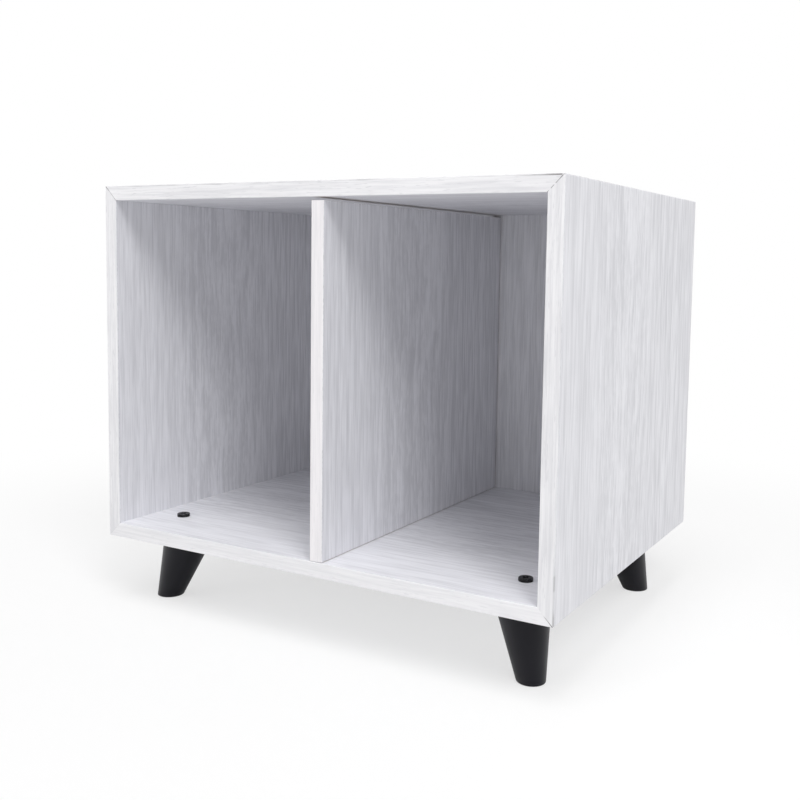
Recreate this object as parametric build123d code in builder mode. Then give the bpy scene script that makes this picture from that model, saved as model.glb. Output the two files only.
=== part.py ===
from build123d import *
import os

# Disc storage cabinet: an open-fronted box of thin laminated board on four splayed legs, with
# one loose upright divider. Millimetres, +Z up, the open front faces -Y. The origin lies under
# the middle of the box, on the plane that the feet stand on.

os.makedirs("parts", exist_ok=True)

# Box of laminated board
box_width = 208.0
box_depth = 158.0
box_height = 150.0
board_thickness = 6.0
corner_radius = 0.5

# Bands glued over the front and rear edges of the boards
band_thickness = 0.5
band_rounding = 0.25

# Back panel, slid into a groove that runs round the inside of the box
back_thickness = 3.0
back_setback = 5.0
groove_depth = 2.5
groove_play = 0.1
back_edge_play = 0.3

# Loose divider
divider_thickness = 5.6
divider_offset = 6.1
divider_front_recess = 0.3
divider_top_gap = 1.3
divider_floor_play = 0.2
divider_back_play = 0.6

# Legs: the axis meets the box at the insets and leans outwards by the splays
leg_height = 29.4
leg_top_radius = 11.0
leg_foot_radius = 5.4
leg_inset_x = 22.8
leg_inset_y = 25.4
leg_splay_x = 6.9
leg_splay_y = 5.8
leg_wall = 1.6
leg_sole = 3.0
leg_foot_rounding = 0.35

# Screw that holds each leg. It stands outwards of the middle of the leg's top, so that its boss
# comes down in the middle of the leaning leg.
screw_offset_x = 2.1
screw_offset_y = 2.1
screw_radius = 1.5
screw_length = 16.0
screw_end_chamfer = 0.4
screw_end_play = 0.5
screw_thread_play = 0.05
screw_hole_play = 0.2
screw_head_radius = 2.75
screw_head_height = 1.3
screw_head_rounding = 0.3
recess_length = 3.0
recess_width = 0.8
recess_depth = 0.9
recess_taper = 15.0

# Screw boss and ribs inside each leg, and the peg that stops the leg from turning
boss_wall = 1.7
boss_depth = 12.5
rib_thickness = 1.2
peg_radius = 1.2
peg_height = 2.4
peg_reach = 6.6
peg_boss_wall = 0.8
peg_play = 0.1

# Pad let into the underside of each foot
pad_radius = 4.0
pad_thickness = 1.2
pad_proud = 0.2
pad_play = 0.1
pad_rounding = 0.1

# Levels and faces worked out from the sizes above
floor_level = leg_height + board_thickness
ceiling_level = leg_height + box_height - board_thickness
middle_level = leg_height + box_height / 2
inner_width = box_width - 2 * board_thickness
front_face = -box_depth / 2
rear_face = box_depth / 2
back_rear = rear_face - back_setback
back_front = back_rear - back_thickness
boss_radius = screw_radius + screw_thread_play + boss_wall
peg_boss_radius = peg_radius + peg_boss_wall

# Each board of the box has a plane on the middle of its outer face: x along the board's
# length, y to the rear, z outwards.
board_sides = {
    "top": (Plane((0, 0, leg_height + box_height), x_dir=(1, 0, 0), z_dir=(0, 0, 1)), box_width),
    "bottom": (Plane((0, 0, leg_height), x_dir=(-1, 0, 0), z_dir=(0, 0, -1)), box_width),
    "left": (Plane((-box_width / 2, 0, middle_level), x_dir=(0, 0, 1), z_dir=(-1, 0, 0)), box_height),
    "right": (Plane((box_width / 2, 0, middle_level), x_dir=(0, 0, -1), z_dir=(1, 0, 0)), box_height),
}
panel_names = {
    "top": "top_panel",
    "bottom": "bottom_panel",
    "left": "left_side_panel",
    "right": "right_side_panel",
}

# The box's outline seen from the front, on the plane of its front edges, facing the rear
outline_plane = Plane((0, front_face, middle_level), x_dir=(1, 0, 0), z_dir=(0, 1, 0))

# Each leg is named for its corner, with the outward direction along X and Y
leg_corners = {
    "front_left": (-1, -1),
    "front_right": (1, -1),
    "rear_left": (-1, 1),
    "rear_right": (1, 1),
}


def leg_centre(out_x, out_y, level):
    """The point of a leg's axis at a level above the ground."""
    lean = (leg_height - level) / (leg_height - pad_proud)
    x = box_width / 2 - leg_inset_x + leg_splay_x * lean
    y = box_depth / 2 - leg_inset_y + leg_splay_y * lean
    return Vector(out_x * x, out_y * y, level)


def screw_point(out_x, out_y):
    """Where a leg's screw passes through the bottom panel, seen from above."""
    top = leg_centre(out_x, out_y, leg_height)
    return (top.X + out_x * screw_offset_x, top.Y + out_y * screw_offset_y)


def peg_point(out_x, out_y):
    """Where a leg's peg enters the bottom panel: on the screw's diagonal, towards the box's middle."""
    x, y = screw_point(out_x, out_y)
    step = peg_reach / 2**0.5
    return (x - out_x * step, y - out_y * step)


def leg_cone(out_x, out_y, wall, lowest):
    """A leg's leaning round taper, thinner all round by a wall, cut level at its lowest and at the box."""
    foot = leg_centre(out_x, out_y, pad_proud)
    axis = leg_centre(out_x, out_y, leg_height) - foot
    taper = (leg_top_radius - leg_foot_radius) / axis.length
    overrun = leg_top_radius / 2
    with BuildPart() as cone:
        with Locations(Plane(foot, z_dir=axis).offset(-overrun)):
            Cone(
                leg_foot_radius - wall - taper * overrun,
                leg_top_radius - wall + taper * overrun,
                axis.length + 2 * overrun,
                align=(Align.CENTER, Align.CENTER, Align.MIN),
            )
        split(bisect_by=Plane.XY.offset(leg_height), keep=Keep.BOTTOM)
        split(bisect_by=Plane.XY.offset(lowest), keep=Keep.TOP)
    return cone.part


def section_plane(side, length):
    """The plane across a board's left end: x to the rear, y outwards, z along the board."""
    end = side.from_local_coords(Vector(-length / 2, 0, 0))
    return Plane(end, x_dir=side.y_dir, z_dir=side.x_dir)


def mitre_planes(side, length):
    """The two 45 degree planes at a board's ends, each facing the offcut."""
    planes = []
    for end in (-1, 1):
        corner = side.from_local_coords(Vector(end * length / 2, 0, 0))
        outwards = side.x_dir * end - side.z_dir
        planes.append(Plane(corner, x_dir=side.y_dir, z_dir=outwards))
    return planes


# Boards of the box: top, bottom, left and right
for place, (side, length) in board_sides.items():
    panel_depth = box_depth - 2 * band_thickness
    groove_width = back_thickness + 2 * groove_play
    groove_middle = (back_front + back_rear) / 2
    with BuildPart() as panel:
        with BuildSketch(section_plane(side, length)):
            with Locations((0, -board_thickness / 2)):
                Rectangle(panel_depth, board_thickness)
            with Locations((groove_middle, -board_thickness)):
                Rectangle(groove_width, 2 * groove_depth, mode=Mode.SUBTRACT)
        extrude(amount=length)
        for mitre in mitre_planes(side, length):
            split(bisect_by=mitre, keep=Keep.BOTTOM)
        with BuildSketch(outline_plane):
            RectangleRounded(box_width, box_height, corner_radius)
        extrude(amount=box_depth, mode=Mode.INTERSECT)
        if place == "bottom":
            with BuildSketch(Plane.XY.offset(leg_height)):
                with Locations(*[screw_point(*outward) for outward in leg_corners.values()]):
                    Circle(screw_radius + screw_hole_play)
            extrude(amount=board_thickness, mode=Mode.SUBTRACT)
            with BuildSketch(Plane.XY.offset(leg_height)):
                with Locations(*[peg_point(*outward) for outward in leg_corners.values()]):
                    Circle(peg_radius + peg_play)
            extrude(amount=peg_height + peg_play, mode=Mode.SUBTRACT)
    name = panel_names[place]
    panel.part.label = name
    export_step(panel.part, f"parts/{name}.step")

# Edge bands: a strip on the front and the rear edge of each board, mitred like the board
for place, (side, length) in board_sides.items():
    for end, facing in (("front", -1), ("rear", 1)):
        band_middle = facing * (box_depth - band_thickness) / 2
        exposed_face = facing * box_depth / 2
        with BuildPart() as band:
            with BuildSketch(section_plane(side, length)) as band_section:
                with Locations((band_middle, -board_thickness / 2)):
                    Rectangle(band_thickness, board_thickness)
                exposed_corners = band_section.vertices().filter_by_position(
                    Axis.X, exposed_face - band_rounding, exposed_face + band_rounding
                )
                fillet(exposed_corners, band_rounding)
            extrude(amount=length)
            for mitre in mitre_planes(side, length):
                split(bisect_by=mitre, keep=Keep.BOTTOM)
            with BuildSketch(outline_plane):
                RectangleRounded(box_width, box_height, corner_radius)
            extrude(amount=box_depth, mode=Mode.INTERSECT)
        name = f"{place}_{end}_edge_band"
        band.part.label = name
        export_step(band.part, f"parts/{name}.step")

# Back panel: stands on the floor of the bottom groove, with play at its top and sides
back_width = inner_width + 2 * (groove_depth - back_edge_play)
back_bottom = floor_level - groove_depth
back_top = ceiling_level + groove_depth - back_edge_play
with BuildPart() as back_panel:
    with BuildSketch(Plane((0, back_front, (back_bottom + back_top) / 2), x_dir=(1, 0, 0), z_dir=(0, 1, 0))):
        Rectangle(back_width, back_top - back_bottom)
    extrude(amount=back_thickness)
back_panel.part.label = "back_panel"
export_step(back_panel.part, "parts/back_panel.step")

# Divider: a loose board between floor and ceiling, with a band on its front edge
divider_bottom = floor_level + divider_floor_play
divider_top = ceiling_level - divider_top_gap
divider_height = divider_top - divider_bottom
divider_front = front_face + divider_front_recess
divider_rear = back_front - divider_back_play
divider_base = Plane((divider_offset, 0, divider_bottom))
board_front = divider_front + band_thickness
with BuildPart() as divider_panel:
    with BuildSketch(divider_base):
        with Locations((0, (board_front + divider_rear) / 2)):
            Rectangle(divider_thickness, divider_rear - board_front)
    extrude(amount=divider_height)
    upright_rear_edges = divider_panel.edges().filter_by(Axis.Z).group_by(Axis.Y)[-1]
    fillet(upright_rear_edges, band_rounding)
divider_panel.part.label = "divider_panel"
export_step(divider_panel.part, "parts/divider_panel.step")

with BuildPart() as divider_front_edge_band:
    with BuildSketch(divider_base):
        with Locations((0, divider_front + band_thickness / 2)):
            Rectangle(divider_thickness, band_thickness)
    extrude(amount=divider_height)
    upright_front_edges = divider_front_edge_band.edges().filter_by(Axis.Z).group_by(Axis.Y)[0]
    fillet(upright_front_edges, band_rounding)
divider_front_edge_band.part.label = "divider_front_edge_band"
export_step(divider_front_edge_band.part, "parts/divider_front_edge_band.step")

# Legs, each with its pad and screw
for corner, (out_x, out_y) in leg_corners.items():
    leg_foot = Plane(leg_centre(out_x, out_y, pad_proud))
    outside = leg_cone(out_x, out_y, 0, pad_proud)
    inside = leg_cone(out_x, out_y, leg_wall, pad_proud + leg_sole)
    screw_x, screw_y = screw_point(out_x, out_y)
    screw_plane = Plane((screw_x, screw_y, leg_height))
    peg_x, peg_y = peg_point(out_x, out_y)
    peg_plane = Plane((peg_x, peg_y, leg_height))

    # Hollow of the leg: everything inside the wall but the boss, its cross of ribs and the peg's boss
    with BuildPart() as leg_core:
        add(inside)
        with BuildSketch(screw_plane):
            Circle(boss_radius)
            Rectangle(4 * leg_top_radius, rib_thickness, rotation=45)
            Rectangle(4 * leg_top_radius, rib_thickness, rotation=-45)
        extrude(amount=-boss_depth, mode=Mode.SUBTRACT)
        with BuildSketch(peg_plane):
            Circle(peg_boss_radius)
        extrude(amount=-boss_depth, mode=Mode.SUBTRACT)

    with BuildPart() as leg:
        add(outside)
        fillet(leg.edges().group_by(Axis.Z)[0], leg_foot_rounding)
        add(leg_core.part, mode=Mode.SUBTRACT)
        with BuildSketch(screw_plane):
            Circle(screw_radius + screw_thread_play)
        extrude(amount=-(screw_length - board_thickness + screw_end_play), mode=Mode.SUBTRACT)
        with BuildSketch(leg_foot):
            Circle(pad_radius + pad_play)
        extrude(amount=pad_thickness - pad_proud, mode=Mode.SUBTRACT)
        with BuildSketch(peg_plane):
            Circle(peg_radius)
        extrude(amount=peg_height)
    name = f"{corner}_leg"
    leg.part.label = name
    export_step(leg.part, f"parts/{name}.step")

    with BuildPart() as foot_pad:
        with BuildSketch(leg_foot.offset(-pad_proud)):
            Circle(pad_radius)
        extrude(amount=pad_thickness)
        fillet(foot_pad.edges().group_by(Axis.Z)[0], pad_rounding)
    name = f"{corner}_foot_pad"
    foot_pad.part.label = name
    export_step(foot_pad.part, f"parts/{name}.step")

    head_plane = Plane((screw_x, screw_y, floor_level))
    with BuildPart() as screw:
        with BuildSketch(head_plane):
            Circle(screw_radius)
        extrude(amount=-screw_length)
        chamfer(screw.edges().group_by(Axis.Z)[0], screw_end_chamfer)
        with BuildSketch(head_plane):
            Circle(screw_head_radius)
        extrude(amount=screw_head_height)
        fillet(screw.edges().group_by(Axis.Z)[-1], screw_head_rounding)
        with BuildSketch(head_plane.offset(screw_head_height)):
            Rectangle(recess_length, recess_width)
            Rectangle(recess_width, recess_length)
        extrude(amount=-recess_depth, taper=recess_taper, mode=Mode.SUBTRACT)
    name = f"{corner}_leg_screw"
    screw.part.label = name
    export_step(screw.part, f"parts/{name}.step")
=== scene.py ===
import math

import bpy
from bpy.props import FloatProperty, FloatVectorProperty, IntProperty, PointerProperty
from mathutils import Matrix, Vector


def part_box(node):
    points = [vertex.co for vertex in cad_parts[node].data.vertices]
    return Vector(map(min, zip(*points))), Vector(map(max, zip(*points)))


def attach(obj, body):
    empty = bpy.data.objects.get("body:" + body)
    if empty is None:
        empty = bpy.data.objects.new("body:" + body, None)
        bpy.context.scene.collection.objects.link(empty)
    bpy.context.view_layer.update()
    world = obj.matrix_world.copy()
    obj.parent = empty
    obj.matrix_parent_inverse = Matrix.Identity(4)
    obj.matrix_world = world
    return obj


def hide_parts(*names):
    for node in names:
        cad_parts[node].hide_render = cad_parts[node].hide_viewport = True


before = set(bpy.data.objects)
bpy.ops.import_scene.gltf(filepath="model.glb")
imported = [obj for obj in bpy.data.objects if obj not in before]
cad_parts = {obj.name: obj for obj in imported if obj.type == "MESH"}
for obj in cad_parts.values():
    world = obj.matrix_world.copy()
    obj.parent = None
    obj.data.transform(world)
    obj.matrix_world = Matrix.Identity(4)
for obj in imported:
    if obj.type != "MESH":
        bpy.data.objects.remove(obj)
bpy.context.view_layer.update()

bl_info = {
    "name": "Disc storage cabinet",
    "version": (1, 0, 0),
    "blender": (4, 5, 0),
    "location": "3D View > Sidebar > Cabinet",
    "description": "Finishes, moulded legs, screws and pads of an open-fronted disc storage cabinet",
    "category": "Object",
}

MM = 0.001
CABINET = "cabinet"

# Each leg is named for its corner, with the outward direction along X and Y
CORNERS = {
    "front_left": (-1, -1),
    "front_right": (1, -1),
    "rear_left": (-1, 1),
    "rear_right": (1, 1),
}

# The direction of the grain on each side's edge bands, and its strength beside the boards' own
BANDS = {
    "top": ("X", 0.8),
    "bottom": ("X", 0.5),
    "left": ("Z", 0.8),
    "right": ("Z", 0.8),
}

# The box, read from the frame. Its outline is centred on BOX_CENTRE, seen from the front.
BOTTOM_LOW, BOTTOM_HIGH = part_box("bottom_panel")
TOP_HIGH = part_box("top_panel")[1]
FRONT_BAND_LOW, FRONT_BAND_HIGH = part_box("top_front_edge_band")
HALF_WIDTH = TOP_HIGH.x
HALF_HEIGHT = (TOP_HIGH.z - BOTTOM_LOW.z) / 2
BOX_CENTRE = (TOP_HIGH.z + BOTTOM_LOW.z) / 2
FRONT_FACE = FRONT_BAND_LOW.y
BAND_JOINT = abs(FRONT_BAND_HIGH.y)
DIVIDER_LOW, DIVIDER_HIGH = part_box("divider_panel")
BACK_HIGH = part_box("back_panel")[1]

# The legs' fittings, read from the frame at the corner where X and Y are positive
PAD_LOW, PAD_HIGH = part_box("rear_right_foot_pad")
PAD_CENTRE = (PAD_LOW + PAD_HIGH) / 2
PAD_RADIUS = (PAD_HIGH.x - PAD_LOW.x) / 2
SCREW_LOW, SCREW_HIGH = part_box("rear_right_leg_screw")
SCREW_CENTRE = (SCREW_LOW + SCREW_HIGH) / 2
HEAD_RADIUS = (SCREW_HIGH.x - SCREW_LOW.x) / 2
LEG_LOW, LEG_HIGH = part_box("rear_right_leg")


def tint(name, description, default):
    """A setting that is a colour."""
    return FloatVectorProperty(
        name=name, description=description, subtype="COLOR", size=3, min=0, max=1, default=default
    )


def measure(name, description, default):
    """A setting that is a length."""
    return FloatProperty(
        name=name, description=description, subtype="DISTANCE", unit="LENGTH", precision=5, default=default
    )


def portion(name, description, default):
    """A setting from 0 to 1."""
    return FloatProperty(
        name=name, description=description, subtype="FACTOR", min=0, max=1, default=default
    )


def tally(name, description, default, low, high):
    """A setting that is a whole number."""
    return IntProperty(name=name, description=description, default=default, min=low, max=high)


def lamp_level(lamp, default):
    """The setting of a lamp's brightness."""
    return FloatProperty(
        name=f"{lamp} Level",
        description=f"How much the {lamp.lower()} lamp adds on a surface that faces it",
        min=0, max=2, default=default,
    )


def lamp_direction(lamp, default):
    """The setting of the way to a lamp."""
    return FloatVectorProperty(
        name=f"{lamp} Direction",
        description=f"Direction from the cabinet to the {lamp.lower()} lamp",
        subtype="DIRECTION", size=3, default=default,
    )


def lamp_distance(lamp, default):
    """The setting of how far off a lamp stands."""
    return measure(f"{lamp} Distance", f"Distance from the cabinet to the {lamp.lower()} lamp", default)


def lamp_size(lamp, default):
    """The setting of a lamp's width."""
    return measure(f"{lamp} Size", f"Width of the {lamp.lower()} lamp's soft box", default)


class CabinetFinish(bpy.types.PropertyGroup):
    """Colours and textures of the cabinet's own materials."""

    foil_white: tint("Foil White", "Ground of the wood-grain foil on the boards", (0.932, 0.932, 0.972))
    foil_grey: tint("Foil Grey", "The foil's darkest streaks", (0.60, 0.60, 0.635))
    band_white: tint("Band White", "Ground of the edge bands", (0.965, 0.96, 0.98))
    # The divider's band is given a whiter, slightly pinker ground than the other bands.
    divider_white: tint(
        "Divider White", "Ground of the divider's edge band, from a whiter batch", (0.99, 0.965, 0.985)
    )
    grain_strength: portion("Grain Strength", "How far the grain's streaks go towards the grey", 0.62)
    grain_relief: measure("Grain Relief", "Depth of the grain that is embossed in the foil", 0.03 * MM)
    # The seam colour also paints the shade along the top band's upper edge.
    seam_and_shade_colour: tint("Seam Colour", "Glue and bare board in open seams", (0.13, 0.12, 0.12))
    seam_width: measure("Seam Width", "Width of a mitre's open seam", 0.28 * MM)
    core_colour: tint("Core Colour", "Bare board where no foil covers it", (0.42, 0.29, 0.17))
    plastic_colour: tint("Leg Plastic", "The moulded legs", (0.0034, 0.0032, 0.0060))
    steel_colour: tint("Black Steel", "The black-plated screws", (0.012, 0.012, 0.013))
    pad_colour: tint("Foot Pad", "The pads under the legs", (0.03, 0.03, 0.03))


class CabinetFittings(bpy.types.PropertyGroup):
    """Sizes of the legs, screws and pads that the frame's boxes don't give."""

    splay: FloatVectorProperty(
        name="Leg Splay",
        description="How far a foot stands out from the middle of its leg's top, along X and Y",
        subtype="XYZ", unit="LENGTH", size=2, default=(6.9 * MM, 5.8 * MM),
    )
    top_radius: measure("Top Radius", "Radius of a leg where it meets the box", 11.0 * MM)
    foot_radius: measure("Foot Radius", "Radius of a leg at its foot", 5.4 * MM)
    rounding: measure("Rounding", "Rounding of a leg's lower edge", 0.35 * MM)
    wall: measure("Wall", "Thickness of a leg's wall", 1.6 * MM)
    sole: measure("Sole", "Thickness of a leg's closed lower end", 3.0 * MM)
    boss_radius: measure("Boss Radius", "Radius of the boss inside a leg that takes the screw", 3.25 * MM)
    boss_depth: measure("Boss Depth", "How far the bosses and ribs reach down into a leg", 12.5 * MM)
    rib_thickness: measure("Rib Thickness", "Thickness of the ribs between boss and wall", 1.2 * MM)
    hole_radius: measure("Hole Radius", "Radius of the screw's hole in the boss", 1.55 * MM)
    hole_depth: measure("Hole Depth", "Depth of the screw's hole in the boss", 10.5 * MM)
    peg_radius: measure("Peg Radius", "Radius of the peg that stops a leg from turning", 1.2 * MM)
    peg_boss_radius: measure("Peg Boss Radius", "Radius of the peg's root inside a leg", 2.0 * MM)
    peg_reach: measure("Peg Reach", "Distance of the peg from the screw", 6.6 * MM)
    pad_play: measure("Pad Play", "Play round a pad in the foot's recess", 0.1 * MM)
    pad_rounding: measure("Pad Rounding", "Rounding of a pad's lower edge", 0.1 * MM)
    pad_groove: measure("Pad Groove", "Depth of the two ring grooves under a pad", 0.12 * MM)
    shank_radius: measure("Screw Radius", "Radius of a screw over its thread", 1.5 * MM)
    neck: measure("Screw Neck", "Plain length of a screw under its head", 0.6 * MM)
    tip: measure("Screw Tip", "Height of the cone at a screw's end", 0.4 * MM)
    head_rounding: measure("Head Rounding", "Rounding of the upper edge of a screw's head", 0.3 * MM)
    thread_pitch: measure("Thread Pitch", "Pitch of the screws' thread", 0.5 * MM)
    thread_depth: measure("Thread Depth", "Depth of the thread, from crest to root", 0.3 * MM)
    recess_length: measure("Recess Length", "Length of each arm pair of the cross recess", 3.0 * MM)
    recess_width: measure("Recess Width", "Width of the cross recess's arms", 0.8 * MM)
    recess_depth: measure("Recess Depth", "Depth of the cross recess", 0.9 * MM)
    recess_taper: FloatProperty(
        name="Recess Taper",
        description="Slope of the cross recess's walls",
        subtype="ANGLE", unit="ROTATION", default=math.radians(15),
    )
    seed: tally("Seed", "Seed for the angle that each screw was driven to", 3, 0, 1000)
    leg_segments: tally("Leg Segments", "Faces round each leg and pad", 72, 16, 128)
    screw_segments: tally("Screw Segments", "Faces round each screw", 36, 12, 96)


class CabinetStage(bpy.types.PropertyGroup):
    """Where the camera and the lights stand."""

    camera_place: FloatVectorProperty(
        name="Camera Place",
        description="Where the camera stands",
        subtype="TRANSLATION", unit="LENGTH", size=3, default=(0.2256, -0.3763, 0.1515),
    )
    camera_turn: FloatVectorProperty(
        name="Camera Turn",
        description="Pitch, roll and yaw of the camera",
        subtype="EULER", unit="ROTATION", size=3, default=(0.0877, 0.0168, -0.5065),
    )
    lens: FloatProperty(
        name="Lens", description="Focal length, in millimetres on a 36 mm sensor", default=44.363
    )
    shift: FloatVectorProperty(
        name="Shift",
        description="Sideways and upward shift of the lens, as the framing needs",
        size=2, default=(-0.0551, -0.0687),
    )
    sky_level: portion("Sky Level", "Level of the even light from all round", 0.44)
    key_level: lamp_level("Key", 0.33)
    key_direction: lamp_direction("Key", (0.56, -0.47, 0.68))
    key_distance: lamp_distance("Key", 1.5)
    key_size: lamp_size("Key", 0.56)
    fill_level: lamp_level("Fill", 0.075)
    fill_direction: lamp_direction("Fill", (-0.66, -0.72, 0.22))
    fill_distance: lamp_distance("Fill", 1.6)
    fill_size: lamp_size("Fill", 0.40)
    top_level: lamp_level("Top", 0.335)
    top_direction: lamp_direction("Top", (0.10, -0.30, 1.0))
    top_distance: lamp_distance("Top", 1.8)
    top_size: lamp_size("Top", 0.80)
    floor_colour: portion("Floor Colour", "How pale the floor is", 0.86)
    shadow_lift: portion(
        "Shadow Lift", "How far the camera sees the floor's shadow lifted towards white", 0.62
    )
    floor_size: measure("Floor Size", "Radius of the floor", 4.0)


class Wire:
    """An output socket of a node. Arithmetic on it adds Math nodes to its tree."""

    def __init__(self, graph, socket):
        self.graph = graph
        self.socket = socket

    def __add__(self, other):
        return self.graph.math("ADD", self, other)

    __radd__ = __add__

    def __sub__(self, other):
        return self.graph.math("SUBTRACT", self, other)

    def __rsub__(self, other):
        return self.graph.math("SUBTRACT", other, self)

    def __mul__(self, other):
        return self.graph.math("MULTIPLY", self, other)

    __rmul__ = __mul__

    def __truediv__(self, other):
        return self.graph.math("DIVIDE", self, other)

    def __abs__(self):
        return self.graph.math("ABSOLUTE", self)


class Graph:
    """A node tree that is being built."""

    def __init__(self, tree):
        self.tree = tree

    def node(self, kind, inputs=None, output=0, **settings):
        """Adds a node, sets its settings and then its sockets, and returns one of its outputs.

        An input is a value, a wire, or a list of wires where the socket takes several.
        """
        made = self.tree.nodes.new(kind)
        for name, value in settings.items():
            setattr(made, name, value)
        for name, value in (inputs or {}).items():
            socket = self.find(made.inputs, name)
            wires = value if isinstance(value, list) else [value]
            for wire in wires:
                if isinstance(wire, Wire):
                    self.tree.links.new(wire.socket, socket)
                else:
                    socket.default_value = wire
        if not made.outputs:
            return None
        return Wire(self, self.find(made.outputs, output))

    def find(self, sockets, name):
        """The available socket with that name, or at that place in the node's list."""
        if isinstance(name, int):
            return sockets[name]
        for socket in sockets:
            if socket.name == name and not socket.is_unavailable:
                return socket
        raise KeyError(f"no socket named {name!r} among {[s.name for s in sockets]}")

    def math(self, operation, *values):
        """One Math node on up to three values or wires."""
        return self.node("ShaderNodeMath", dict(enumerate(values)), operation=operation)

    def vectors(self, operation, *values):
        """One Vector Math node on up to two vectors."""
        return self.node("ShaderNodeVectorMath", dict(enumerate(values)), operation=operation)

    def scaled(self, vector, factor):
        """A vector times a value."""
        return self.node("ShaderNodeVectorMath", {0: vector, 3: factor}, operation="SCALE")

    def rise(self, value, low, high):
        """0 below low, 1 above high, and a smooth rise between them."""
        sockets = {"Value": value, "From Min": low, "From Max": high}
        return self.node("ShaderNodeMapRange", sockets, interpolation_type="SMOOTHSTEP")

    def fall(self, value, low, high):
        """1 below low, 0 above high, and a smooth fall between them."""
        return 1.0 - self.rise(value, low, high)

    def vector(self, x, y, z):
        return self.node("ShaderNodeCombineXYZ", {"X": x, "Y": y, "Z": z})

    def axes(self, vector):
        """The three coordinates of a vector, each as a wire."""
        made = self.tree.nodes.new("ShaderNodeSeparateXYZ")
        self.tree.links.new(vector.socket, made.inputs[0])
        return [Wire(self, socket) for socket in made.outputs]


class Shading(Graph):
    """A material's node tree."""

    def __init__(self, name):
        self.material = bpy.data.materials.new(name)
        self.material.use_nodes = True
        super().__init__(self.material.node_tree)
        self.tree.nodes.clear()

    def place(self):
        """Object coordinates, which are the frame's own coordinates in metres."""
        return self.node("ShaderNodeTexCoord", output="Object")

    def noise(self, place, detail=2.0):
        """A noise of scale 1 at a place, from 0 to 1 with its middle at 0.5."""
        return self.node("ShaderNodeTexNoise", {"Vector": place, "Scale": 1.0, "Detail": detail})

    def speckle(self, fineness, detail):
        """A noise that is the same in every direction, with so many spots to the metre."""
        return self.noise(self.scaled(self.place(), fineness), detail)

    def mix(self, factor, first, second):
        """A colour between two colours, each a wire or three numbers."""
        first, second = (c if isinstance(c, Wire) else (*c, 1.0) for c in (first, second))
        sockets = {"Factor": factor, "A": first, "B": second}
        return self.node("ShaderNodeMix", sockets, "Result", data_type="RGBA")

    def bump(self, height, distance, strength=1.0):
        sockets = {"Strength": strength, "Distance": distance, "Height": height}
        return self.node("ShaderNodeBump", sockets)

    def surface(self, **sockets):
        """Ends the tree in a Principled surface. A socket's name has underscores for spaces."""
        named = {name.replace("_", " "): value for name, value in sockets.items()}
        shader = self.node("ShaderNodeBsdfPrincipled", named)
        self.node("ShaderNodeOutputMaterial", {"Surface": shader})
        return self.material


def grain(shading, along):
    """The wood grain along an axis of the frame: its tone, its pores and its relief.

    The noise is stretched along the grain and bent a little across it. The grain runs straight
    near a board's edges. The middle is a little greyer, and there the grain opens into faint light
    arches and crackle. Behind the middle some thin light lines run from end to end. Short dark
    pores lie all over.
    """
    x, y, z = shading.axes(shading.place())
    run, side = (x, z) if along == "X" else (z, x)
    bend = shading.noise(shading.vector(run * 16.0, y * 34.0, side * 34.0), detail=1.0) - 0.5
    offset = (y + 0.012) / 0.028
    figure = shading.fall(abs(offset), 0.4, 1.6)
    wander = bend * (0.0015 + figure * 0.0045)
    across = y + wander
    depth = side + bend * 0.0012

    def streaks(length, width, detail):
        place = shading.vector(run / length, across / width, depth / width)
        return shading.noise(place, detail)

    hair = streaks(0.016, 0.0007, 1.0)
    fine = streaks(0.042, 0.0019, 2.0)
    medium = streaks(0.110, 0.0055, 2.0)
    broad = streaks(0.260, 0.0240, 1.0)
    behind = shading.fall(abs(y - 0.040), 0.010, 0.036)
    straight = (
        (hair - 0.5) * (2.0 + behind * 1.6)
        + (fine - 0.5) * (2.0 + behind * 0.8)
        + (medium - 0.5) * (0.45 + figure * 1.15)
        + (broad - 0.5) * (0.2 + figure * 1.1)
    )

    arches = offset * offset * 2.6 - run * 22.0 + bend * 2.4
    rings = shading.math("PINGPONG", arches, 0.5) * 2.0
    crackle = shading.rise(streaks(0.0050, 0.0012, 1.0), 0.42, 0.62)
    figured = (shading.rise(rings, 0.40, 0.95) * 0.32 + crackle * 0.40 - 0.30) * figure
    lines = shading.rise(streaks(0.090, 0.0014, 1.0), 0.56, 0.68) * behind
    pores = shading.rise(streaks(0.0045, 0.00042, 1.0), 0.62, 0.72)
    return {
        "tone": straight - figured - lines * 0.60 + behind * 0.12 + 0.36,
        "pores": pores,
        "relief": fine * 0.6 + hair * 0.4 - figured * 0.4 - pores * 0.3,
    }


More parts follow.
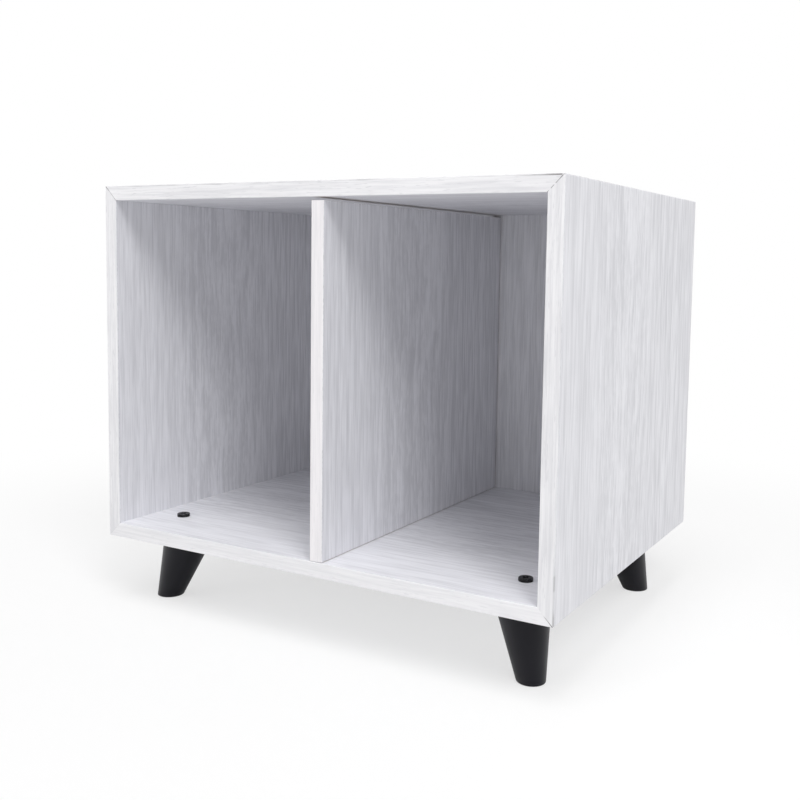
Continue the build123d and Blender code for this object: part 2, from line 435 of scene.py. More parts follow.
def seams_and_painted_shade(shading, finish):
    """Where the corner mitres and the bands' glue lines show dark, and where shade is painted along the top
    band's upper edge, from 0 to 1.

    Each corner of the front has closed in its own way: the top left one shows a thin line from end
    to end, the top right one a broken line with a chipped tip, the bottom right one its outer half,
    and the bottom left one next to nothing. Along the top band's upper edge runs a thin line of
    painted shade, faint and patchy along most of it and darkest at its right end, where the band has
    come up a little: painted shadow of the gap under it. Low on the right side the front band's
    joint shows as a faint crack.
    """
    x, y, z = shading.axes(shading.place())
    from_side = HALF_WIDTH - abs(x)
    from_end = HALF_HEIGHT - abs(z - BOX_CENTRE)
    off_mitre = abs(from_side - from_end) / math.sqrt(2)
    from_tip = from_side + from_end
    breaks = shading.noise(shading.vector(x / 0.0011, y / 0.004, z / 0.0011), 2.0)
    dashes = shading.rise(breaks, 0.44, 0.56)
    tip = shading.fall(from_tip, 0.0008, 0.0042)
    outer_half = shading.fall(from_tip, 0.0050, 0.0076)
    right = shading.rise(x, -0.001, 0.001)
    left = 1.0 - right
    upper = shading.rise(z, BOX_CENTRE - 0.001, BOX_CENTRE + 0.001)
    lower = 1.0 - upper
    rear = shading.rise(y, -0.001, 0.001)
    front = 1.0 - rear

    front_corners = (
        left * upper * (tip * 0.40 + 0.42 + dashes * 0.12)
        + right * upper * (dashes * 0.62 + tip * 0.38)
        + right * lower * outer_half * (0.55 + tip * 0.35)
        + left * lower * dashes * 0.14
    )
    width = finish.seam_width / 2
    opened = shading.fall(off_mitre, width * 0.5, width * 1.5)
    mitre = opened * (front * front_corners + rear * dashes * 0.35)

    # Painted shade: a thin dark line along the top band's upper edge, patchy and faint along most of it and
    # darkest at its right end, for the shadow in the gap where the band has come up a little.
    on_band = shading.fall(y, FRONT_FACE, -BAND_JOINT)
    from_top = abs(z - (BOX_CENTRE + HALF_HEIGHT - 0.00035))
    edge_shade_line = shading.fall(from_top, 0.00010, 0.00038) * on_band
    right_end = shading.rise(x, 0.084, 0.1025) * shading.fall(x, 0.1026, 0.1032) * 0.55
    patches = shading.noise(shading.vector(x / 0.018, 0.0, 0.0), 2.0)
    closed = shading.rise(x, 0.026, 0.036) * shading.fall(x, 0.062, 0.074)
    faint = (0.05 + shading.rise(patches, 0.40, 0.65) * 0.20) * (1.0 - closed)
    lifted = edge_shade_line * (right_end + faint)

    off_joint = abs(abs(y) - BAND_JOINT)
    joint = shading.fall(off_joint, 0.00004, 0.00014) * shading.rise(breaks, 0.40, 0.70) * 0.4
    height = z - BOTTOM_LOW.z
    on_right_side = shading.rise(x, HALF_WIDTH - 0.0004, HALF_WIDTH - 0.0001) * front
    crack = on_right_side * shading.fall(off_joint, 0.00040, 0.00080) * (
        shading.fall(height, 0.0180, 0.0230) * 0.14
        + shading.fall(abs(height - 0.0150), 0.0020, 0.0032) * 0.26
        + shading.fall(height, 0.0030, 0.0060) * 0.30
    )
    seams = [mitre, joint, lifted, crack]
    while len(seams) > 1:
        seams.append(shading.math("MAXIMUM", seams.pop(0), seams.pop(0)))
    return seams[0]


def paler(colour, times):
    """A colour with each of its three numbers raised so many times, to 1 at most."""
    return tuple(min(1.0, number * times) for number in colour)


def bare_core(shading, colour, uncovered, finish):
    """A board's colour, with the bare chipboard where no foil covers it."""
    chips = shading.rise(shading.speckle(1 / 0.0007, 3.0), 0.3, 0.7)
    chipboard = shading.mix(chips, finish.core_colour, paler(finish.core_colour, 1.5))
    return shading.mix(uncovered, colour, chipboard)


def laminate(name, along, finish, uncovered=None):
    """Board faced with white wood-grain foil, its streaks along an axis of the frame.

    uncovered gives the places where the foil stops, from 0 to 1, for a board with bare edges.
    """
    shading = Shading(name)
    wood = grain(shading, along)
    streaks = shading.rise(wood["tone"] + wood["pores"] * 0.25, -0.55, 1.35) * finish.grain_strength
    colour = shading.mix(streaks, finish.foil_white, finish.foil_grey)
    if uncovered:
        colour = bare_core(shading, colour, uncovered(shading), finish)
    else:
        colour = shading.mix(seams_and_painted_shade(shading, finish) * 0.5, colour, finish.seam_and_shade_colour)
    return shading.surface(
        Base_Color=colour,
        Roughness=0.44 + wood["relief"] * 0.10,
        Normal=shading.bump(wood["relief"], finish.grain_relief),
    )


def edge_band(name, along, face, ground, strength, finish):
    """Thin white edging with grain along its length, the open mitres and glue lines, and the painted shade
    along the top band's upper edge.

    face is how far the band's face stands from the middle of the cabinet. Its trimmed sides, which
    lie behind the face, take the tone of the foil beside them.
    """
    shading = Shading(name)
    y = shading.axes(shading.place())[1]
    trimmed = shading.fall(abs(y), face - 0.00020, face - 0.00006)
    ground = shading.mix(trimmed, ground, finish.foil_white)
    wood = grain(shading, along)
    streaks = shading.rise(wood["tone"] + wood["pores"] * 1.0, -0.55, 1.35) * strength
    colour = shading.mix(streaks, ground, finish.foil_grey)
    # Seams, and the painted shade line along the top band's upper edge.
    colour = shading.mix(seams_and_painted_shade(shading, finish), colour, finish.seam_and_shade_colour)
    return shading.surface(
        Base_Color=colour,
        Roughness=0.42 + wood["relief"] * 0.10,
        Normal=shading.bump(wood["relief"], finish.grain_relief * 0.6),
    )


def moulded_plastic(finish):
    """Satin near-black plastic with a fine spark-eroded texture, rubbed a little at the foot."""
    shading = Shading("satin_leg_plastic")
    x, y, z = shading.axes(shading.place())
    texture = shading.speckle(5200.0, 1.0)
    clouds = shading.noise(shading.vector(x * 120.0, y * 120.0, z * 70.0), 2.0)
    rubbed = shading.fall(z, 0.0003, 0.0016) * shading.rise(texture, 0.45, 0.75)
    pale = paler(finish.plastic_colour, 3.0)
    colour = shading.mix(clouds * 0.35 + rubbed * 0.4, finish.plastic_colour, pale)
    return shading.surface(
        Base_Color=colour,
        Roughness=0.36 + clouds * 0.12,
        Normal=shading.bump(texture, 0.000010, 0.5),
        Specular_IOR_Level=0.15,
        Sheen_Weight=0.24,
        Sheen_Roughness=0.55,
    )


def rubber(finish):
    """Matt black rubber with a fine grain."""
    shading = Shading("pad_rubber")
    speckle = shading.speckle(3000.0, 2.0)
    dusty = paler(finish.pad_colour, 2.6)
    return shading.surface(
        Base_Color=shading.mix(speckle * 0.5, finish.pad_colour, dusty),
        Roughness=0.72 + speckle * 0.15,
        Normal=shading.bump(speckle, 0.00002, 0.5),
    )


def black_steel(finish):
    """Black-plated steel with a few spots rubbed bright, and bright bare metal on the head's upper rim as a
    painted glint.
    """
    shading = Shading("plated_screw_steel")
    x, y, z = shading.axes(shading.place())
    speckle = shading.speckle(2600.0, 2.0)
    off_x = abs(x) - SCREW_CENTRE.x
    off_y = abs(y) - SCREW_CENTRE.y
    from_axis = shading.math("SQRT", off_x * off_x + off_y * off_y)
    # Worn plating gives bright spots all over; on the head's upper rim they are gathered as a painted
    # glint.
    glint_rim = shading.rise(from_axis, HEAD_RADIUS * 0.86, HEAD_RADIUS * 0.96)
    on_head = shading.rise(z, SCREW_HIGH.z - 0.0003, SCREW_HIGH.z - 0.0001)
    rubbed = shading.rise(speckle, 0.50, 0.72) * (0.25 + glint_rim * on_head * 0.75)
    bare = paler(finish.steel_colour, 22.0)
    return shading.surface(
        Base_Color=shading.mix(rubbed, finish.steel_colour, bare),
        Metallic=0.55 + rubbed * 0.4,
        Roughness=0.26 + speckle * 0.14,
        Specular_IOR_Level=0.3,
    )


class Shaping(Graph):
    """A Geometry Nodes tree that makes one kind of piece, with a named input for each size."""

    def __init__(self, name, numbers, counts=("Segments",), points=()):
        """Numbers, counts and points are the names of the inputs of each kind."""
        super().__init__(bpy.data.node_groups.new(name, "GeometryNodeTree"))
        labels = {
            "Geometry": ("Profile",), "Float": numbers, "Int": counts, "Vector": points,
            "Material": ("Material",),
        }
        for kind in labels:
            for label in labels[kind]:
                self.tree.interface.new_socket(label, in_out="INPUT", socket_type=f"NodeSocket{kind}")
        self.tree.interface.new_socket("Piece", in_out="OUTPUT", socket_type="NodeSocketGeometry")
        self.inputs = self.tree.nodes.new("NodeGroupInput")

    def given(self, label):
        """The wire of one of the tree's own inputs."""
        return Wire(self, self.find(self.inputs.outputs, label))

    def rows(self, profile, segments):
        """A grid with a row for each point of the profile, with the row and the angle at each point.

        The angle falls from column to column, so that with a profile from the top down the faces
        point outwards.
        """
        count = self.node("GeometryNodeAttributeDomainSize", {"Geometry": profile}, "Point Count")
        grid = self.node("GeometryNodeMeshGrid", {"Vertices X": segments + 1, "Vertices Y": count})
        index = self.node("GeometryNodeInputIndex")
        row = self.math("MODULO", index, count)
        angle = (1.0 - self.math("FLOOR", index / count) / segments) * (2 * math.pi)
        return grid, row, angle

    def read(self, profile, row, attribute=None):
        """A profile point's place, or its value of a named attribute."""
        kind = "FLOAT" if attribute else "FLOAT_VECTOR"
        if attribute:
            value = self.node("GeometryNodeInputNamedAttribute", {"Name": attribute}, data_type=kind)
        else:
            value = self.node("GeometryNodeInputPosition")
        sockets = {"Geometry": profile, "Value": value, "Index": row}
        return self.node("GeometryNodeSampleIndex", sockets, data_type=kind)

    def merged(self, mesh, distance=1e-6):
        """The mesh with the points made one that lie closer together than a distance."""
        return self.node("GeometryNodeMergeByDistance", {"Geometry": mesh, "Distance": distance})

    def placed(self, mesh, place):
        """The grid with its points moved to their places, and its seam and poles closed."""
        return self.merged(self.node("GeometryNodeSetPosition", {"Geometry": mesh, "Position": place}))

    def at(self, geometry, place, turn=(0.0, 0.0, 0.0)):
        """The geometry turned, and then moved to a place."""
        sockets = {"Geometry": geometry, "Translation": place, "Rotation": turn}
        return self.node("GeometryNodeTransform", sockets)

    def without(self, body, *cutters):
        """A solid less some others."""
        sockets = {"Mesh 1": body, "Mesh 2": list(cutters)}
        return self.node("GeometryNodeMeshBoolean", sockets, operation="DIFFERENCE", solver="EXACT")

    def joined(self, *bodies):
        """Several solids made one."""
        sockets = {"Mesh": list(bodies)}
        return self.node("GeometryNodeMeshBoolean", sockets, operation="UNION", solver="EXACT")

    def shaded(self, mesh, sharpest=0.6):
        """Smooth faces, with the edges left sharp that turn by more than an angle."""
        sockets = {"Geometry": mesh, "Shade Smooth": True}
        smooth = self.node("GeometryNodeSetShadeSmooth", sockets, domain="FACE")
        sharp = self.math("GREATER_THAN", self.node("GeometryNodeInputMeshEdgeAngle"), sharpest)
        sockets = {"Geometry": smooth, "Selection": sharp, "Shade Smooth": False}
        return self.node("GeometryNodeSetShadeSmooth", sockets, domain="EDGE")

    def at_four_corners(self, piece, turn=(0.0, 0.0, 0.0)):
        """The piece at the four points that the Spacing and Seat Level inputs give."""
        sockets = {"Size X": self.given("Spacing X"), "Size Y": self.given("Spacing Y")}
        points = self.node("GeometryNodeMeshGrid", {**sockets, "Vertices X": 2, "Vertices Y": 2})
        seats = self.at(points, self.vector(0.0, 0.0, self.given("Seat Level")))
        sockets = {"Points": seats, "Instance": piece, "Rotation": turn}
        return self.node("GeometryNodeInstanceOnPoints", sockets)

    def end(self, geometry):
        """Ends the tree with real geometry in its material."""
        real = self.node("GeometryNodeRealizeInstances", {"Geometry": geometry})
        sockets = {"Geometry": real, "Material": self.given("Material")}
        finished = self.node("GeometryNodeSetMaterial", sockets)
        self.node("NodeGroupOutput", {"Piece": finished})
        return self.tree


def leg_tree():
    """A moulded leg: a leaning round taper cut level at both ends, hollow, with bosses and ribs.

    A profile point holds how far round the lower edge's rounding it is, whether it lies on the
    surface or on the axis, and how far up it stands, each from 0 to 1. A point of the surface
    stays on its own straight line down the taper, so that every level cut is the true one.
    """
    graph = Shaping(
        "leg_moulding",
        numbers=(
            "Foot Radius", "Top Radius", "Rounding", "Wall", "Sole", "Boss Radius", "Boss Depth",
            "Rib Thickness", "Hole Radius", "Hole Depth", "Peg Radius", "Peg Boss Radius", "Peg Height",
            "Pad Recess Radius", "Pad Recess Depth",
        ),
        points=("Foot", "Top", "Screw", "Peg"),
    )
    given = graph.given
    foot = given("Foot")
    screw = given("Screw")
    peg = given("Peg")
    axis = graph.vectors("SUBTRACT", given("Top"), foot)
    length = graph.node("ShaderNodeVectorMath", {0: axis}, "Value", operation="LENGTH")
    along = graph.vectors("NORMALIZE", axis)
    sideways = graph.vectors("NORMALIZE", graph.vectors("CROSS_PRODUCT", (0.0, 1.0, 0.0), along))
    forwards = graph.vectors("CROSS_PRODUCT", along, sideways)
    taper = (given("Top Radius") - given("Foot Radius")) / length
    height = graph.axes(axis)[2]
    profile = given("Profile")
    segments = given("Segments")

    def moved(point, way):
        """A point moved along a vector."""
        return graph.vectors("ADD", point, way)

    def taper_solid(radius, low, high, rounding):
        """The solid inside a taper between two levels, with its lower edge rounded."""
        grid, row, angle = graph.rows(profile, segments)
        share, off_axis, climb = graph.axes(graph.read(profile, row))
        level = low + rounding * (1.0 - share) + climb * (high - low - rounding)
        start = radius - rounding * (1.0 - graph.math("SQRT", 1.0 - share * share))
        out = moved(
            graph.scaled(sideways, graph.math("COSINE", angle)),
            graph.scaled(forwards, graph.math("SINE", angle)),
        )
        up = (level - start * graph.axes(out)[2]) / (graph.axes(along)[2] + taper * graph.axes(out)[2])
        slant = moved(graph.scaled(along, up), graph.scaled(out, start + taper * up))
        skin = moved(foot, slant)
        middle = moved(foot, graph.scaled(axis, level / height))
        place = moved(graph.scaled(skin, off_axis), graph.scaled(middle, 1.0 - off_axis))
        return graph.placed(grid, place)

    def rod(point, radius, rise, drop):
        """A rod on an upright axis through a point, from rise above it to drop below it."""
        top = moved(point, graph.vector(0.0, 0.0, rise))
        length = rise + drop
        middle = graph.vectors("SUBTRACT", top, graph.vector(0.0, 0.0, length / 2))
        sockets = {"Vertices": segments, "Radius": radius, "Depth": length}
        return graph.at(graph.node("GeometryNodeMeshCylinder", sockets), middle)

    overrun = 0.001
    outside = taper_solid(given("Foot Radius"), 0.0, height, given("Rounding"))
    inside = taper_solid(given("Foot Radius") - given("Wall"), given("Sole"), height + overrun, 0.0)

    depth = given("Boss Depth")
    boss = rod(screw, given("Boss Radius"), 2 * overrun, depth)
    peg_boss = rod(peg, given("Peg Boss Radius"), 2 * overrun, depth)
    rib_size = graph.vector(given("Top Radius") * 4.0, given("Rib Thickness"), depth + 2 * overrun)
    rib_centre = moved(screw, graph.vector(0.0, 0.0, overrun - depth / 2))
    ribs = [
        graph.at(graph.node("GeometryNodeMeshCube", {"Size": rib_size}), rib_centre, (0.0, 0.0, turn))
        for turn in (math.pi / 4, -math.pi / 4)
    ]
    hollow = graph.without(inside, boss, peg_boss, *ribs)
    hole = rod(screw, given("Hole Radius"), overrun, given("Hole Depth"))
    pad_recess = rod(foot, given("Pad Recess Radius"), given("Pad Recess Depth"), overrun)
    cup = graph.without(outside, hollow, hole, pad_recess)
    peg_rod = rod(peg, given("Peg Radius"), given("Peg Height"), overrun)
    slivers = 0.00001
    return graph.end(graph.shaded(graph.merged(graph.joined(cup, peg_rod), slivers)))


def screw_tree():
    """Low-headed screws at four corners, each driven to its own angle.

    Each is a turned profile with a helical thread and a cross recess.
    """
    graph = Shaping(
        "turned_screws",
        numbers=(
            "Head Height", "Thread Pitch", "Thread Depth", "Recess Length", "Recess Width",
            "Recess Depth", "Recess Slope", "Spacing X", "Spacing Y", "Seat Level",
        ),
        counts=("Segments", "Seed"),
    )
    profile = graph.given("Profile")
    grid, row, angle = graph.rows(profile, graph.given("Segments"))
    radius, _, level = graph.axes(graph.read(profile, row))
    threaded = graph.read(profile, row, "threaded")
    turns = level / graph.given("Thread Pitch") - angle / (2 * math.pi)
    groove = 1.0 - graph.math("PINGPONG", turns, 0.5) * 2.0
    cut = radius - groove * threaded * graph.given("Thread Depth")
    place = graph.vector(cut * graph.math("COSINE", angle), cut * graph.math("SINE", angle), level)
    blank = graph.placed(grid, place)

    depth = graph.given("Recess Depth")

    def arm(length, width):
        """Half of the cross, wider above the head's top and narrower below it."""
        made = graph.node("GeometryNodeMeshCube", {"Size": graph.vector(length, width, depth * 2.0)})
        x, y, z = graph.axes(graph.node("GeometryNodeInputPosition"))
        spread = z * graph.given("Recess Slope")
        place = graph.vector(x + graph.math("SIGN", x) * spread, y + graph.math("SIGN", y) * spread, z)
        sloped = graph.node("GeometryNodeSetPosition", {"Geometry": made, "Position": place})
        return graph.at(sloped, graph.vector(0.0, 0.0, graph.given("Head Height")))

    long = graph.given("Recess Length")
    narrow = graph.given("Recess Width")
    arms = [arm(long, narrow), arm(narrow, long)]
    screw = graph.shaded(graph.without(blank, *arms))
    index = graph.node("GeometryNodeInputIndex")
    sockets = {"Min": 0.0, "Max": math.pi / 2, "ID": index, "Seed": graph.given("Seed")}
    driven = graph.node("FunctionNodeRandomValue", sockets, "Value", data_type="FLOAT")
    turn = graph.node("FunctionNodeEulerToRotation", {"Euler": graph.vector(0.0, 0.0, driven)})
    return graph.end(graph.at_four_corners(screw, turn))


def pad_tree():
    """Round pads at four corners, each turned from one profile."""
    graph = Shaping("turned_pads", numbers=("Spacing X", "Spacing Y", "Seat Level"))
    profile = graph.given("Profile")
    grid, row, angle = graph.rows(profile, graph.given("Segments"))
    radius, _, level = graph.axes(graph.read(profile, row))
    place = graph.vector(radius * graph.math("COSINE", angle), radius * graph.math("SINE", angle), level)
    pad = graph.shaded(graph.placed(grid, place))
    return graph.end(graph.at_four_corners(pad))


def add_object(name, data):
    """A new object in the scene."""
    made = bpy.data.objects.new(name, data)
    bpy.context.scene.collection.objects.link(made)
    return made


def shaped(name, tree, profile, sizes, stands_for):
    """Makes a piece with a Geometry Nodes tree, as a plain mesh that stands for CAD nodes.

    The profile is a list of points, from the top down, and may come with named values. An input
    of the tree that sizes doesn't hold takes the fittings' setting of the same name.
    """
    fittings = bpy.context.scene.cabinet_fittings
    points, values = profile
    mesh = bpy.data.meshes.new(f"{name}_profile")
    mesh.from_pydata(points, [], [])
    for label, numbers in values.items():
        mesh.attributes.new(label, "FLOAT", "POINT").data.foreach_set("value", numbers)
    piece = add_object(name, mesh)
    modifier = piece.modifiers.new("shape", "NODES")
    modifier.node_group = tree
    for item in tree.interface.items_tree:
        if item.in_out == "INPUT" and item.name != "Profile":
            setting = item.name.lower().replace(" ", "_")
            value = sizes[item.name] if item.name in sizes else getattr(fittings, setting)
            modifier[item.identifier] = value
    evaluated = piece.evaluated_get(bpy.context.evaluated_depsgraph_get())
    made = bpy.data.meshes.new_from_object(evaluated)
    if not made.polygons:
        raise RuntimeError(f"{name} came out empty")
    piece.modifiers.remove(modifier)
    piece.data = made
    made.name = name
    bpy.data.meshes.remove(mesh)
    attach(piece, CABINET)
    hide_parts(*stands_for)


def arc(centre, radius, start, stop, steps):
    """Points on an arc of a turned profile, as radius and level, with the angles in degrees."""
    angles = [math.radians(start + (stop - start) * i / steps) for i in range(steps + 1)]
    return [(centre[0] + radius * math.cos(a), 0.0, centre[1] + radius * math.sin(a)) for a in angles]


def give(node_name, material):
    """Gives a CAD node its material, in every slot that it has."""
    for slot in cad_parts[node_name].material_slots:
        slot.material = material


class CABINET_OT_boards(bpy.types.Operator):
    """Faces the four boards of the box with wood-grain foil"""

    bl_idname = "cabinet.boards"
    bl_label = "Boards"

    def execute(self, context):
        finish = context.scene.cabinet_finish
        lying = laminate("lying_board_grain", "X", finish)
        standing = laminate("standing_board_grain", "Z", finish)
        for name in ("top_panel", "bottom_panel"):
            give(name, lying)
        for name in ("left_side_panel", "right_side_panel"):
            give(name, standing)
        return {"FINISHED"}


class CABINET_OT_edge_bands(bpy.types.Operator):
    """Finishes the bands on the boards' front and rear edges"""

    bl_idname = "cabinet.edge_bands"
    bl_label = "Edge Bands"

    def execute(self, context):
        finish = context.scene.cabinet_finish
        for place, (along, share) in BANDS.items():
            strength = finish.grain_strength * share
            band = edge_band(f"{place}_band_grain", along, -FRONT_FACE, finish.band_white, strength, finish)
            for end in ("front", "rear"):
                give(f"{place}_{end}_edge_band", band)
        return {"FINISHED"}


class CABINET_OT_back(bpy.types.Operator):
    """Finishes the back panel. Its edges, in the boards' grooves, are bare"""

    bl_idname = "cabinet.back"
    bl_label = "Back Panel"

    def execute(self, context):
        def cut_edges(shading):
            x, _, z = shading.axes(shading.place())
            inside = 0.00002
            beside = shading.math("GREATER_THAN", abs(x), BACK_HIGH.x - inside)
            beyond = shading.math("GREATER_THAN", abs(z - BOX_CENTRE), BACK_HIGH.z - BOX_CENTRE - inside)
            return shading.math("MAXIMUM", beside, beyond)

        give("back_panel", laminate("back_grain", "Z", context.scene.cabinet_finish, cut_edges))
        return {"FINISHED"}


class CABINET_OT_divider(bpy.types.Operator):
    """Finishes the loose divider and its band. Its other edges are bare"""

    bl_idname = "cabinet.divider"
    bl_label = "Divider"

    def execute(self, context):
        finish = context.scene.cabinet_finish

        def cut_edges(shading):
            _, y, z = shading.axes(shading.place())
            beyond = 0.00002
            rear = shading.math("GREATER_THAN", y, DIVIDER_HIGH.y - beyond)
            above = shading.math("GREATER_THAN", z, DIVIDER_HIGH.z - beyond)
            below = shading.math("LESS_THAN", z, DIVIDER_LOW.z + beyond)
            return shading.math("MAXIMUM", rear, shading.math("MAXIMUM", above, below))

        give("divider_panel", laminate("divider_grain", "Z", finish, cut_edges))
        face = -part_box("divider_front_edge_band")[0].y
        faint = finish.grain_strength * 0.45
        pale = edge_band("divider_band", "Z", face, finish.divider_white, faint, finish)
        give("divider_front_edge_band", pale)
        return {"FINISHED"}


class CABINET_OT_legs(bpy.types.Operator):
    """Makes the four moulded legs"""

    bl_idname = "cabinet.legs"
    bl_label = "Legs"

    def execute(self, context):
        fittings = context.scene.cabinet_fittings
        tree = leg_tree()
        plastic = moulded_plastic(context.scene.cabinet_finish)
        rounding_steps = 6
        climb_steps = 8
        quarter = [math.sin(math.pi / 2 * i / rounding_steps) for i in range(rounding_steps + 1)]
        skin = [(0.0, 1.0, i / climb_steps) for i in range(climb_steps, 0, -1)]
        skin += [(share, 1.0, 0.0) for share in quarter]
        profile = [(0.0, 0.0, 1.0), *skin, (1.0, 0.0, 0.0)]
        splay_x, splay_y = fittings.splay
        step = fittings.peg_reach / math.sqrt(2)
        for corner, (out_x, out_y) in CORNERS.items():
            side = Vector((out_x, out_y, 1))
            sizes = {
                "Foot": side * Vector((PAD_CENTRE.x, PAD_CENTRE.y, LEG_LOW.z)),
                "Top": side * Vector((PAD_CENTRE.x - splay_x, PAD_CENTRE.y - splay_y, BOTTOM_LOW.z)),
                "Screw": side * Vector((SCREW_CENTRE.x, SCREW_CENTRE.y, BOTTOM_LOW.z)),
                "Peg": side * Vector((SCREW_CENTRE.x - step, SCREW_CENTRE.y - step, BOTTOM_LOW.z)),
                "Peg Height": LEG_HIGH.z - BOTTOM_LOW.z,
                "Pad Recess Radius": PAD_RADIUS + fittings.pad_play,
                "Pad Recess Depth": PAD_HIGH.z - LEG_LOW.z,
                "Segments": fittings.leg_segments,
                "Material": plastic,
            }
            shaped(f"{corner}_leg_moulding", tree, (profile, {}), sizes, [f"{corner}_leg"])
        return {"FINISHED"}


class CABINET_OT_foot_pads(bpy.types.Operator):
    """Makes the pads under the four legs"""

    bl_idname = "cabinet.foot_pads"
    bl_label = "Foot Pads"

    def execute(self, context):
        fittings = context.scene.cabinet_fittings
        rounding = fittings.pad_rounding
        thickness = PAD_HIGH.z - PAD_LOW.z
        profile = [(0.0, 0.0, thickness), (PAD_RADIUS, 0.0, thickness)]
        profile += arc((PAD_RADIUS - rounding, rounding), rounding, 0, -90, 3)
        groove_middles = (0.72, 0.38)
        groove_walls = ((0.05, 0.0), (0.03, 1.0), (-0.03, 1.0), (-0.05, 0.0))
        for middle in groove_middles:
            for step, depth in groove_walls:
                profile.append((PAD_RADIUS * (middle + step), 0.0, fittings.pad_groove * depth))
        profile.append((0.0, 0.0, 0.0))
        sizes = {
            "Segments": fittings.leg_segments,
            "Spacing X": 2 * PAD_CENTRE.x,
            "Spacing Y": 2 * PAD_CENTRE.y,
            "Seat Level": PAD_LOW.z,
            "Material": rubber(context.scene.cabinet_finish),
        }
        pads = [f"{corner}_foot_pad" for corner in CORNERS]
        shaped("foot_pads", pad_tree(), (profile, {}), sizes, pads)
        return {"FINISHED"}


class CABINET_OT_screws(bpy.types.Operator):
    """Makes the screws that hold the legs"""

    bl_idname = "cabinet.screws"
    bl_label = "Leg Screws"

    def execute(self, context):
        fittings = context.scene.cabinet_fittings
        head = SCREW_HIGH.z - BOTTOM_HIGH.z
        length = BOTTOM_HIGH.z - SCREW_LOW.z
        shank = fittings.shank_radius
        rounding = fittings.head_rounding
        neck = fittings.neck
        tip = fittings.tip
        rows_each_turn = 6
        profile = [(0.0, 0.0, head)]
        profile += reversed(arc((HEAD_RADIUS - rounding, head - rounding), rounding, 0, 90, 5))
        profile += [(HEAD_RADIUS, 0.0, 0.0), (shank, 0.0, 0.0), (shank, 0.0, -neck)]
        plain = len(profile)
        step = fittings.thread_pitch / rows_each_turn
        rows = int((length - neck - tip) / step)
        profile += [(shank, 0.0, -neck - step * i) for i in range(1, rows + 1)]
        profile += [(shank - tip, 0.0, -length), (0.0, 0.0, -length)]
        threaded = [0.0] * plain + [min(1.0, i / rows_each_turn) for i in range(1, rows + 1)] + [0.0, 0.0]
        sizes = {
            "Head Height": head,
            "Recess Slope": math.tan(fittings.recess_taper),
            "Segments": fittings.screw_segments,
            "Spacing X": 2 * SCREW_CENTRE.x,
            "Spacing Y": 2 * SCREW_CENTRE.y,
            "Seat Level": BOTTOM_HIGH.z,
            "Material": black_steel(context.scene.cabinet_finish),
        }
        screws = [f"{corner}_leg_screw" for corner in CORNERS]
        shaped("leg_screws", screw_tree(), (profile, {"threaded": threaded}), sizes, screws)
        return {"FINISHED"}


def camera_matrix(stage):
    """The camera's place and turn, from its pitch, roll and yaw."""
    pitch, roll, yaw = stage.camera_turn
    world_to_camera = (
        Matrix.Rotation(roll, 3, "Y") @ Matrix.Rotation(pitch, 3, "X") @ Matrix.Rotation(yaw, 3, "Z")
    )
    right, forward, up = world_to_camera
    turn = Matrix((right, up, -forward)).transposed().to_4x4()
    return Matrix.Translation(Vector(stage.camera_place)) @ turn


def add_camera(stage):
    camera = bpy.data.cameras.new("camera")
    camera.sensor_width = 36.0
    camera.lens = stage.lens
    camera.shift_x, camera.shift_y = stage.shift
    camera.clip_start = 0.01
    camera.clip_end = 20.0
    holder = add_object("camera", camera)
    holder.matrix_world = camera_matrix(stage)
    bpy.context.scene.camera = holder


def add_lamp(stage, name):
    """A soft box that adds its level of light on a surface at the cabinet's middle that faces it."""
    level, direction, distance, size = (
        getattr(stage, f"{name}_{setting}") for setting in ("level", "direction", "distance", "size")
    )
    towards = Vector(direction).normalized()
    place = Vector((0, 0, BOX_CENTRE)) + towards * distance
    lamp = bpy.data.lights.new(f"{name}_lamp", "AREA")
    lamp.shape = "DISK"
    lamp.size = size
    lamp.energy = level * math.pi**2 * distance**2
    turn = towards.to_track_quat("Z", "Y").to_matrix().to_4x4()
    add_object(f"{name}_lamp", lamp).matrix_world = Matrix.Translation(place) @ turn


def ray_kinds(shading):
    """1 on rays from the camera, and 1 on those and the rays from a mirror or through glass."""
    made = shading.tree.nodes.new("ShaderNodeLightPath")
    rays = [Wire(shading, made.outputs[f"Is {kind} Ray"]) for kind in ("Camera", "Glossy", "Transmission")]
    return rays[0], shading.math("MAXIMUM", shading.math("MAXIMUM", rays[0], rays[1]), rays[2])


def set_world(stage):
    """White behind the cabinet, and an even light of the sky's level on it."""
    world = bpy.data.worlds.new("studio")
    world.use_nodes = True
    world.node_tree.nodes.clear()
    graph = Graph(world.node_tree)
    _, seen = ray_kinds(graph)
    level = stage.sky_level + seen * (1.0 - stage.sky_level)
    background = graph.node("ShaderNodeBackground", {"Color": (1, 1, 1, 1), "Strength": level})
    graph.node("ShaderNodeOutputWorld", {"Surface": background})
    bpy.context.scene.world = world


def floor_material(stage):
    """A pale matt floor that fades into the white behind it away from the cabinet."""
    shading = Shading("studio_floor")
    x, y, _ = shading.axes(shading.place())
    by_camera, seen = ray_kinds(shading)
    away = shading.math("SQRT", x * x + y * y)
    shade = stage.floor_colour + seen * (1.0 - stage.floor_colour)
    colour = shading.vector(shade, shade, shade)
    matt = shading.node("ShaderNodeBsdfDiffuse", {"Color": colour})
    white = shading.node("ShaderNodeEmission", {"Color": (1, 1, 1, 1), "Strength": 1.0})
    fade_start = 0.16
    fade_end = 0.42
    far = shading.rise(away, fade_start, fade_end) * seen
    whiter = far + by_camera * stage.shadow_lift * (1.0 - far)
    mixed = shading.node("ShaderNodeMixShader", {0: whiter, 1: matt, 2: white})
    shading.node("ShaderNodeOutputMaterial", {"Surface": mixed})
    return shading.material


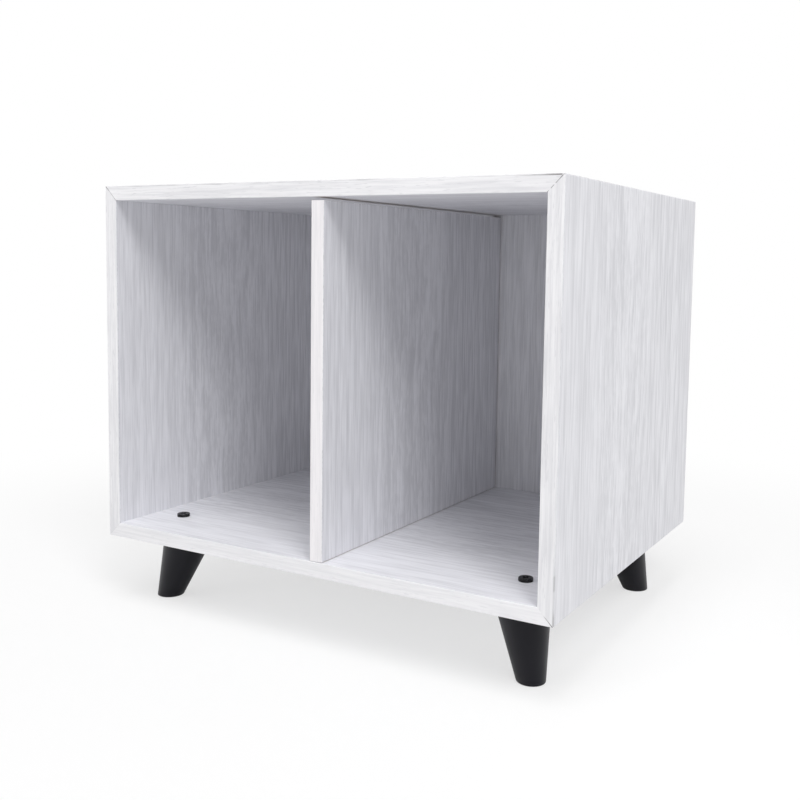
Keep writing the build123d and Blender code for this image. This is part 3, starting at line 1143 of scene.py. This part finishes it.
def add_floor(stage):
    """A round floor at the level that the feet stand on."""
    segments = 64
    angles = [2 * math.pi * i / segments for i in range(segments)]
    corners = [(stage.floor_size * math.cos(a), stage.floor_size * math.sin(a), 0) for a in angles]
    mesh = bpy.data.meshes.new("studio_floor")
    mesh.from_pydata(corners, [], [range(segments)])
    mesh.materials.append(floor_material(stage))
    floor = add_object("studio_floor", mesh)


class CABINET_OT_stage(bpy.types.Operator):
    """Sets up the camera, the lamps, the pale floor and the white behind it"""

    bl_idname = "cabinet.stage"
    bl_label = "Stage"

    def execute(self, context):
        stage = context.scene.cabinet_stage
        add_camera(stage)
        for lamp in ("key", "fill", "top"):
            add_lamp(stage, lamp)
        set_world(stage)
        add_floor(stage)
        context.scene.view_settings.view_transform = "Standard"
        return {"FINISHED"}


class CABINET_PT_sidebar(bpy.types.Panel):
    """Lists the cabinet's pieces and its stage"""

    bl_label = "Disc Storage Cabinet"
    bl_idname = "CABINET_PT_sidebar"
    bl_space_type = "VIEW_3D"
    bl_region_type = "UI"
    bl_category = "Cabinet"

    def draw(self, context):
        for operator in OPERATORS:
            self.layout.operator(operator.bl_idname)


OPERATORS = (
    CABINET_OT_boards,
    CABINET_OT_edge_bands,
    CABINET_OT_back,
    CABINET_OT_divider,
    CABINET_OT_legs,
    CABINET_OT_foot_pads,
    CABINET_OT_screws,
    CABINET_OT_stage,
)
SETTINGS = {
    "cabinet_finish": CabinetFinish,
    "cabinet_fittings": CabinetFittings,
    "cabinet_stage": CabinetStage,
}


def register():
    for made in (*SETTINGS.values(), *OPERATORS, CABINET_PT_sidebar):
        bpy.utils.register_class(made)
    for name, group in SETTINGS.items():
        setattr(bpy.types.Scene, name, PointerProperty(type=group))


def unregister():
    for name in SETTINGS:
        delattr(bpy.types.Scene, name)
    for made in reversed((*SETTINGS.values(), *OPERATORS, CABINET_PT_sidebar)):
        bpy.utils.unregister_class(made)


def main():
    register()
    bpy.ops.cabinet.boards()
    bpy.ops.cabinet.edge_bands()
    bpy.ops.cabinet.back()
    bpy.ops.cabinet.divider()
    bpy.ops.cabinet.legs()
    bpy.ops.cabinet.foot_pads()
    bpy.ops.cabinet.screws()
    bpy.ops.cabinet.stage()


if __name__ == "__main__":
    main()
